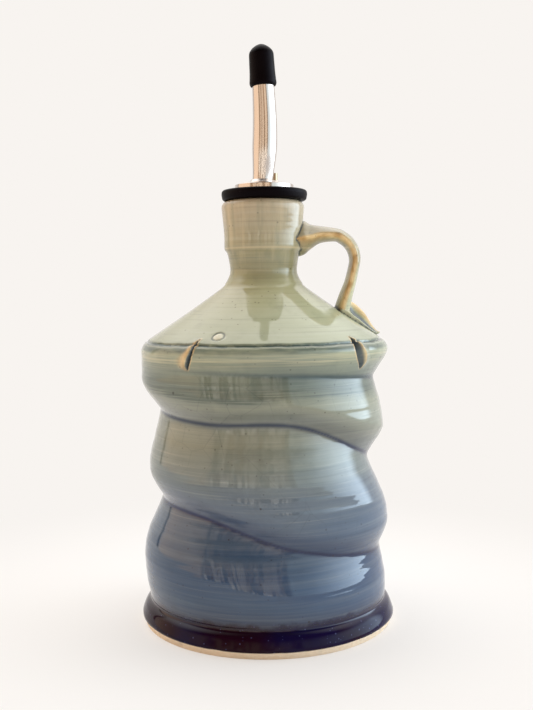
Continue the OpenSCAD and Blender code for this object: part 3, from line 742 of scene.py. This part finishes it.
class Graph:
    """A node tree, with short ways to add nodes and join them. Its place is the point that patterns read."""

    def __init__(self, tree, output):
        self.nodes, self.links = tree.nodes, tree.links
        self.nodes.clear()
        self.output = self.add(output).inputs["Surface"]
        self.coordinates = self.add("TexCoord")
        self.place = self.coordinates.outputs["Object"]

    def put(self, socket, value):
        """Joins a socket to another one, or sets its number or colour."""
        if isinstance(value, bpy.types.NodeSocket):
            self.links.new(value, socket)
        else:
            socket.default_value = value

    def fill(self, node, values):
        for key, value in values.items():
            self.put(node.inputs[key.replace("_", " ")], value)

    def add(self, kind, **values):
        node = self.nodes.new("ShaderNode" + kind)
        self.fill(node, values)
        return node

    def math(self, operation, *values, clamp=False):
        node = self.add("Math")
        node.operation, node.use_clamp = operation, clamp
        for socket, value in zip(node.inputs, values):
            self.put(socket, value)
        return node.outputs[0]

    def product(self, *values):
        result = values[0]
        for value in values[1:]:
            result = self.math("MULTIPLY", result, value)
        return result

    def span(self, value, low, high, to_low=0.0, to_high=1.0):
        """Goes smoothly from one value to another as the input goes from low to high."""
        node = self.add("MapRange", Value=value, From_Min=low, From_Max=high, To_Min=to_low, To_Max=to_high)
        node.interpolation_type = "SMOOTHSTEP"
        return node.outputs[0]

    def bell(self, value, middle, width):
        """One at the middle value, falling to nothing on both sides."""
        off = self.math("DIVIDE", self.math("SUBTRACT", value, middle), width)
        return self.math("EXPONENT", self.product(off, off, -1.0))

    def spread(self, pattern, size):
        """A pattern of nought to one, moved about nought and as wide as the size."""
        return self.product(self.math("SUBTRACT", pattern, 0.5), size)

    def mix(self, share, first, second):
        node = self.add("Mix", Factor=share)
        node.data_type = "RGBA"
        self.put(node.inputs[6], first)
        self.put(node.inputs[7], second)
        return node.outputs[2]

    def ramp(self, value, stops):
        """A colour by the value, from stops of position and colour."""
        node = self.add("ValToRGB", Fac=value)
        ramp = node.color_ramp
        for position, colour in stops[1:-1]:
            ramp.elements.new(position).color = colour
        ordered = sorted(ramp.elements, key=lambda e: e.position)
        for element, (position, colour) in zip(ordered, stops):
            element.position, element.color = position, colour
        return node.outputs["Color"]

    def value(self, name):
        """A number that the mesh carries at its points."""
        node = self.add("Attribute")
        node.attribute_name = name
        return node.outputs["Fac"]

    def part(self, letter):
        return self.add("SeparateXYZ", Vector=self.place).outputs[letter]

    def height(self):
        """Height in millimetres."""
        return self.product(self.part("Z"), 1 / MM)

    def stretched(self, x, y, z):
        """The place scaled along each axis, for a pattern that is long or flat."""
        return self.add("Mapping", Vector=self.place, Scale=(x, y, z)).outputs["Vector"]

    def noise(self, vector, scale, detail=2.0, roughness=0.5):
        node = self.add("TexNoise", Vector=vector, Scale=scale, Detail=detail, Roughness=roughness)
        return node.outputs["Fac"]

    def specks(self, scale, reach, share):
        """Small spots in some of the cells of a random pattern."""
        node = self.add("TexVoronoi", Vector=self.place, Scale=scale)
        chance = self.add("SeparateColor", Color=node.outputs["Color"]).outputs[0]
        size = self.product(self.span(chance, 1 - share, 1), reach)
        return self.span(self.math("SUBTRACT", size, node.outputs["Distance"]), 0, 0.06)

    def cracks(self, scale, width):
        """Thin lines between the cells of a random pattern."""
        node = self.add("TexVoronoi", Vector=self.place, Scale=scale)
        node.feature = "DISTANCE_TO_EDGE"
        return self.span(node.outputs["Distance"], width, 0.0)

    def bump(self, height, distance, strength, **below):
        """A relief on the surface, or on a relief given as its Normal."""
        node = self.add("Bump", Height=height, Distance=distance, Strength=strength, **below)
        return node.outputs["Normal"]

    def seen_rays(self, share):
        """One for what the camera sees, and a share for what it sees in gloss or through glass."""
        rays = self.add("LightPath").outputs
        gloss = self.math("MAXIMUM", rays["Is Glossy Ray"], rays["Is Transmission Ray"])
        return self.math("MAXIMUM", rays["Is Camera Ray"], self.product(gloss, share))

    def blend_shaders(self, share, first, second):
        node = self.add("MixShader", Fac=share)
        self.put(node.inputs[1], first)
        self.put(node.inputs[2], second)
        self.put(self.output, node.outputs[0])


class Surface(Graph):
    """A material with one glossy shader, and the colour that is laid on so far."""

    def __init__(self, name):
        self.material = bpy.data.materials.new(name)
        self.material.use_nodes = True
        super().__init__(self.material.node_tree, "OutputMaterial")
        self.shader = self.add("BsdfPrincipled")
        self.put(self.output, self.shader.outputs["BSDF"])

    def look(self, **values):
        self.fill(self.shader, values)

    def by_height(self, z, stops):
        """A colour from stops of height in millimetres and screen colour."""
        places = [(height / GLAZE_TOP, rgb(*colour)) for height, colour in stops]
        return self.ramp(self.math("DIVIDE", z, GLAZE_TOP), places)

    def cover(self, share, colour):
        self.colour = self.mix(share, self.colour, colour)

    def tint(self, share, red, green, blue):
        self.cover(share, rgb(red, green, blue))


# The glaze by height: cream and sage at the neck, slate blue below, navy at the foot.
GLAZE_AND_RIM_SHADE = [
    (0, (12, 6, 26)), (9.6, (16, 24, 60)), (12, (62, 76, 100)), (16, (64, 84, 110)),
    (22, (54, 76, 106)), (30, (58, 78, 104)), (40, (84, 100, 120)), (50, (98, 110, 122)),
    (60, (124, 132, 126)), (68, (134, 136, 120)), (75, (142, 146, 132)), (81, (146, 148, 128)),
    (87, (98, 108, 98)), (92, (134, 140, 122)), (100, (168, 172, 144)), (108, (178, 180, 148)),
    # The darker stop at 87 mm is painted shade: a band under the rim where the groove turns in.
    (118, (180, 176, 136)), (126, (148, 142, 108)), (131.5, (152, 146, 114)), (136, (166, 156, 126)),
    (150, (182, 164, 136)),
]
# Colour of the groove's crease: pooled glaze and painted shade.
CREASE_GLAZE_AND_SHADE = [(7.5, (8, 6, 34)), (45, (10, 20, 70)), (75, (24, 38, 62)), (105, (48, 76, 78))]
GLAZE_TOP = 150.0


def throwing_lines(s, z, lines, fine, threads):
    """Fine lines and threads round the body, and a grey grain."""
    s.tint(s.product(s.span(lines, 0.35, 0.75), 0.07), 196, 200, 190)
    s.tint(s.product(s.span(fine, 0.5, 0.8), 0.14), 58, 62, 70)
    s.tint(s.product(s.span(threads, 0.55, 0.72), s.span(z, 20, 70, 0.05, 0.14)), 206, 202, 184)
    s.tint(s.product(s.span(threads, 0.44, 0.3), 0.16), 52, 60, 70)


def crazing(s, z, cloud):
    """Hair cracks in part of the body's glaze."""
    cracks = s.product(s.cracks(95, 0.022), s.span(cloud, 0.45, 0.6), s.span(z, 25, 45), s.span(z, 96, 86))
    s.tint(s.product(cracks, 0.2), 58, 66, 70)


def groove_glaze_and_shade(s, z):
    """Dark colour in the groove's crease, from pooled glaze and painted shade, and a weaker painted shade
    just above it.
    """
    fold = s.math("ADD", s.value("fold"), s.spread(s.noise(s.place, 90), 0.5))
    # Pooled glaze and painted shade along the crease.
    crease_glaze_and_shade = s.product(s.math("POWER", s.value("share"), 0.6), s.bell(fold, 0.0, 0.85))
    crease = s.by_height(z, CREASE_GLAZE_AND_SHADE)
    s.cover(s.product(crease_glaze_and_shade, 0.92), crease)
    # Painted shade just above the crease, under the overhanging bulge.
    s.cover(s.product(s.value("hollow"), 0.42), crease)


def score_glaze(s, threads):
    """The dark scored line, with a pale line, a mottled band and pale threads below it."""
    score = s.value("score")
    mottle = s.span(s.noise(s.stretched(60, 60, 300), 1, 3, 0.7), 0.3, 0.65, 0.35, 1)
    s.tint(s.product(s.span(score, -0.1, -0.8), s.span(score, -4.2, -2.6), mottle, 0.8), 82, 96, 92)
    s.tint(s.product(s.bell(score, -5.6, 1.6), s.span(threads, 0.45, 0.6), 0.4), 206, 194, 158)
    broken = s.span(s.noise(s.stretched(260, 260, 700), 1, 2, 0.6), 0.3, 0.5, 0.5, 0.9)
    s.tint(s.product(s.bell(score, -1.3, 0.3), broken, 0.4), 222, 222, 200)
    s.tint(s.product(s.bell(score, 0, 0.8), broken), 36, 66, 66)


def rim_shade_and_runs(s, z, level, threads):
    """A dark band of painted shade below the rim, and upright runs on the neck."""
    # Painted shade: the dark band under the rim, streaked by the threads.
    s.tint(s.product(s.bell(level, 84.5, 1.4), s.span(threads, 0.42, 0.56), 0.55), 54, 70, 66)
    runs = s.noise(s.stretched(420, 420, 26), 1, 2, 0.6)
    neck = s.span(z, 118, 136)
    s.tint(s.product(neck, s.span(runs, 0.5, 0.72), 0.3), 112, 122, 100)
    s.tint(s.product(neck, s.span(runs, 0.46, 0.3), 0.2), 214, 196, 160)


def tan_edges(s):
    """Clay shows tan through the glaze where it is thin."""
    thin = s.noise(s.place, 240, 2)
    tan = s.mix(s.span(thin, 0.25, 0.7), rgb(184, 136, 74), rgb(232, 202, 150))
    s.cover(s.math("MULTIPLY", s.value("edge"), s.span(thin, 0.1, 0.5, 0.55, 1), clamp=True), tan)


def pale_pooled_and_shaded(s, z, fine):
    """The pressed ring and the ring on the neck, and pooled glaze with painted shade in the joints, the
    tail's channel and the cuts.
    """
    ring = s.value("ring")
    s.tint(s.product(s.span(ring, 2.0, 1.4), 0.85), 236, 228, 204)
    s.tint(s.product(s.bell(ring, 0.4, 0.7), 0.5), 186, 184, 152)
    s.tint(s.product(s.bell(ring, 2.3, 0.35), 0.9), 86, 92, 78)
    s.tint(s.product(s.bell(z, RING_Z + 0.4, 0.35), 0.6), 206, 188, 150)
    # Pooled glaze and painted shade: dark in the cuts' slits, the tail's channel and the joints.
    s.tint(s.product(s.span(s.value("pool_and_shade"), 0.1, 0.9), s.span(fine, 0.3, 0.6, 0.7, 0.92)), 40, 62, 78)


def pits(s):
    """Brown specks of three sizes."""
    dots = s.math("MAXIMUM", s.specks(230, 0.16, 0.05), s.specks(480, 0.2, 0.03))
    dots = s.math("MAXIMUM", dots, s.product(s.specks(900, 0.34, 0.1), 0.6))
    s.tint(s.product(dots, 0.6), 44, 34, 30)


def foot_glaze(s, z, cloud, fine):
    """Aubergine and navy with small blue spots on the foot."""
    edge = s.math("ADD", z, s.spread(fine, 7.0))
    aubergine = s.mix(s.span(cloud, 0.4, 0.6), rgb(34, 8, 24), rgb(18, 14, 54))
    s.cover(s.span(edge, 11.4, 8.8), aubergine)
    s.tint(s.product(s.specks(1100, 0.34, 0.3), s.span(z, 12, 9), 0.5), 84, 88, 128)


def glaze_material():
    """The glaze from its ground colour up, and the bare clay under the foot."""
    s = Surface("glaze")
    z = s.height()
    cloud = s.noise(s.place, 26, 3)
    fine = s.noise(s.place, 150, 3, 0.6)
    lines = s.noise(s.stretched(14, 14, 520), 1, 2, 0.6)
    threads = s.noise(s.stretched(24, 24, 1500), 1, 2, 0.7)
    shift = s.math("ADD", s.spread(cloud, 16.0), s.spread(lines, 3.5))
    level = s.math("ADD", z, s.product(shift, s.span(z, 8, 26, 0.12, 1)))
    s.colour = s.by_height(level, GLAZE_AND_RIM_SHADE)
    throwing_lines(s, z, lines, fine, threads)
    crazing(s, z, cloud)
    groove_glaze_and_shade(s, z)
    score_glaze(s, threads)
    rim_shade_and_runs(s, z, level, threads)
    tan_edges(s)
    pale_pooled_and_shaded(s, z, fine)
    pits(s)
    foot_glaze(s, z, cloud, fine)
    clay, grain = s.value("clay"), s.noise(s.place, 700, 3, 0.7)
    s.cover(clay, s.mix(grain, rgb(238, 212, 180), rgb(252, 238, 218)))
    s.tint(s.product(s.value("inside"), 0.5), 96, 100, 92)
    s.look(Base_Color=s.colour, IOR=1.52, Specular_IOR_Level=s.span(z, 6, 10, 0.1, 0.5),
           Roughness=s.math("ADD", s.product(clay, 0.62), s.span(fine, 0.3, 0.8, 0.035, 0.09)))
    relief = s.bump(lines, 0.05 * MM, 0.5)
    relief = s.bump(s.noise(s.place, 60, 2), 0.4 * MM, 0.3, Normal=relief)
    s.look(Normal=s.bump(s.product(grain, clay), 0.3 * MM, 0.6, Normal=relief))
    return s.material


def steel_material(name, dark, light):
    s = Surface(name)
    grain = s.noise(s.stretched(900, 900, 60), 1, 2)
    s.look(Base_Color=s.mix(grain, rgb(*dark), rgb(*light)), Metallic=1.0,
           Roughness=s.span(grain, 0.2, 0.8, 0.1, 0.17))
    s.look(Normal=s.bump(s.noise(s.stretched(300, 300, 90), 1, 2), 0.04 * MM, 0.4))
    return s.material


def rubber_material(name, rough):
    """Matt black, slightly paler and rougher in patches."""
    s = Surface(name)
    dust = s.noise(s.place, 160, 4, 0.7)
    black = rgb(*RUBBER)
    pale = (*[c * 1.7 for c in black[:3]], 1)
    s.look(Base_Color=s.mix(s.span(dust, 0.35, 0.75), black, pale), IOR=1.5, Specular_IOR_Level=0.06,
           Specular_Tint=RUBBER_TINT, Roughness=s.span(dust, 0.3, 0.7, rough, rough + 0.1))
    s.look(Normal=s.bump(s.noise(s.place, 900, 3, 0.6), 0.05 * MM, 0.5))
    return s.material


# Screen colours of steel and rubber, and the light of the studio and of the room that the glaze mirrors.
STEEL, BREATHER_STEEL = ((192, 180, 172), (212, 204, 198)), ((146, 124, 100), (170, 148, 122))
RUBBER, RUBBER_TINT = (4, 2, 3), (1.0, 0.8, 0.92, 1)
BACKGROUND, TABLE = rgb(248, 244, 240), rgb(246, 243, 240)
ROOM_LOW, ROOM_HIGH = (0.34, 0.26, 0.19, 1), (0.04, 0.03, 0.03, 1)
ROOM_BACK, ROOM_TOP = (0.95, 0.93, 0.91, 1), (2.35, 2.3, 2.25, 1)
ROOM_DARK, PANES, PANES_ABOVE = (0.04, 0.04, 0.035, 1), (2.5, 2.3, 2.0, 1), (1.3, 1.05, 0.8, 1)
ROOM_BROWN = (0.72, 0.46, 0.26, 1)
WARM_SIDE, COOL_NEAR, COOL_SIDE = (1.5, 1.15, 0.85, 1), (1.1, 1.26, 1.32, 1), (4.6, 5.5, 6.3, 1)
# Where each begins and ends, in degrees from the front towards the handle's side.
ROOM_EDGES, WARM_EDGES = ((-56, -52), (32, 28)), ((-132, -112), (-53, -60))
COOL_EDGES, COOL_RISE, WARM_FRAME = ((28, 32), (128, 112)), (38, 104), -124

CAMERA_DISTANCE, CAMERA_SIDE, CAMERA_HEIGHT = 332.1, 0.24, 117.5
CAMERA_PITCH, CAMERA_ROLL, CAMERA_CLIP = 4.0, 0.55, (0.01, 20)
SENSOR, FOCAL_PIXELS, PHOTO_HEIGHT = 36, 927.4, 710
TABLE_HALF = 3.0


def make_camera():
    """The photograph's camera: pitched down and a little rolled."""
    data = bpy.data.cameras.new("camera")
    data.sensor_fit, data.sensor_width = "AUTO", SENSOR
    data.lens = SENSOR * FOCAL_PIXELS / PHOTO_HEIGHT
    data.clip_start, data.clip_end = CAMERA_CLIP
    camera = placed("camera", data)
    p, r = math.radians(CAMERA_PITCH), math.radians(CAMERA_ROLL)
    forward, up = Vector((0, math.cos(p), -math.sin(p))), Vector((0, math.sin(p), math.cos(p)))
    side = Vector((1, 0, 0))
    across, above = math.cos(r) * side - math.sin(r) * up, math.sin(r) * side + math.cos(r) * up
    turn = Matrix((across, above, -forward)).transposed().to_4x4()
    place = Vector((CAMERA_SIDE, -CAMERA_DISTANCE, CAMERA_HEIGHT)) * MM
    camera.matrix_world = Matrix.Translation(place) @ turn
    bpy.context.scene.camera = camera


def room_in_front(g, up):
    """Bright panes with bars across, and brown and dark things between them."""
    panes = g.span(g.noise(g.stretched(11, 0, 1.6), 1, 2, 0.6), 0.48, 0.52)
    brown = g.span(g.noise(g.stretched(13, 0, 4), 1, 1), 0.45, 0.55)
    above = g.span(up, 0.0, 0.12)
    light = g.mix(above, PANES, PANES_ABOVE)
    bars = g.span(g.math("SINE", g.product(up, 48.0)), 0.55, 0.8)
    light = g.mix(g.product(bars, g.span(up, 0.0, -0.05), 0.75), light, ROOM_LOW)
    dark = g.mix(brown, ROOM_LOW, g.mix(above, ROOM_DARK, ROOM_BROWN))
    return g.mix(panes, dark, light)


def studio_colour(g):
    """What lies in each direction, by its height and its angle from the front."""
    up, back = g.part("Z"), g.part("Y")
    turn = g.product(g.math("ARCTAN2", g.part("X"), g.product(back, -1.0)), 180 / math.pi)
    front = g.mix(g.span(up, 0.1, 0.5), ROOM_LOW, ROOM_HIGH)
    behind = g.mix(g.span(up, 0.25, 0.8), ROOM_BACK, ROOM_TOP)
    colour = g.mix(g.span(back, -0.3, 0.15), front, behind)
    level = g.span(up, 0.6, 0.3)
    room, warm, cool = (g.product(g.span(turn, *begin), g.span(turn, *end), level)
                        for begin, end in (ROOM_EDGES, WARM_EDGES, COOL_EDGES))
    colour = g.mix(room, colour, room_in_front(g, up))
    colour = g.mix(warm, colour, WARM_SIDE)
    colour = g.mix(g.product(g.bell(turn, WARM_FRAME, 2.0), level), colour, ROOM_DARK)
    return g.mix(cool, colour, g.mix(g.span(turn, *COOL_RISE), COOL_NEAR, COOL_SIDE))


def make_world():
    """A studio: white behind and above, cool on the handle's side, warm opposite, a dim room in front."""
    world = bpy.data.worlds.new("studio")
    bpy.context.scene.world = world
    world.use_nodes = True
    g = Graph(world.node_tree, "OutputWorld")
    g.place = g.coordinates.outputs["Generated"]
    room = g.add("Background", Color=studio_colour(g))
    seen = g.add("Background", Color=BACKGROUND)
    far_behind = g.product(g.span(g.part("Y"), 0.6, 0.75), g.span(g.part("Z"), 0.6, 0.25))
    g.blend_shaders(g.seen_rays(far_behind), room.outputs[0], seen.outputs[0])


def make_floor():
    """A pale table top that runs out into the background's white."""
    mesh = bpy.data.meshes.new("table_top")
    corners = [(x * TABLE_HALF, y * TABLE_HALF, 0) for x, y in ((-1, -1), (1, -1), (1, 1), (-1, 1))]
    mesh.from_pydata(corners, [], [(0, 1, 2, 3)])
    floor = placed("table_top", mesh)
    s = Surface("table_white")
    s.look(Base_Color=TABLE, Roughness=0.9)
    reach = s.add("VectorMath", Vector=s.place)
    reach.operation = "LENGTH"
    far = s.span(reach.outputs["Value"], 0.045, 0.2, 0.55, 1)
    white = s.add("Emission", Color=BACKGROUND)
    s.blend_shaders(s.product(far, s.seen_rays(1.0)), s.shader.outputs["BSDF"], white.outputs[0])
    mesh.materials.append(s.material)


def build():
    glaze = glaze_material()
    steel = steel_material("polished_steel", *STEEL)
    body = bottle_mesh(glaze)
    straps = [strap_mesh("handle_strap", strap_path(), glaze), strap_mesh("handle_tail", tail_path(), glaze)]
    pool_and_shade_where_they_meet(body, straps)
    stopper_mesh(rubber_material("stopper_black", 0.42))
    plate_mesh(steel)
    spout_mesh(steel)
    cap_mesh(rubber_material("cap_black", 0.38))
    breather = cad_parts["breather"]
    breather.data.materials.clear()
    breather.data.materials.append(steel_material("breather_steel", *BREATHER_STEEL))


build()
make_world()
make_floor()
make_camera()
bpy.context.scene.view_settings.view_transform = "Standard"
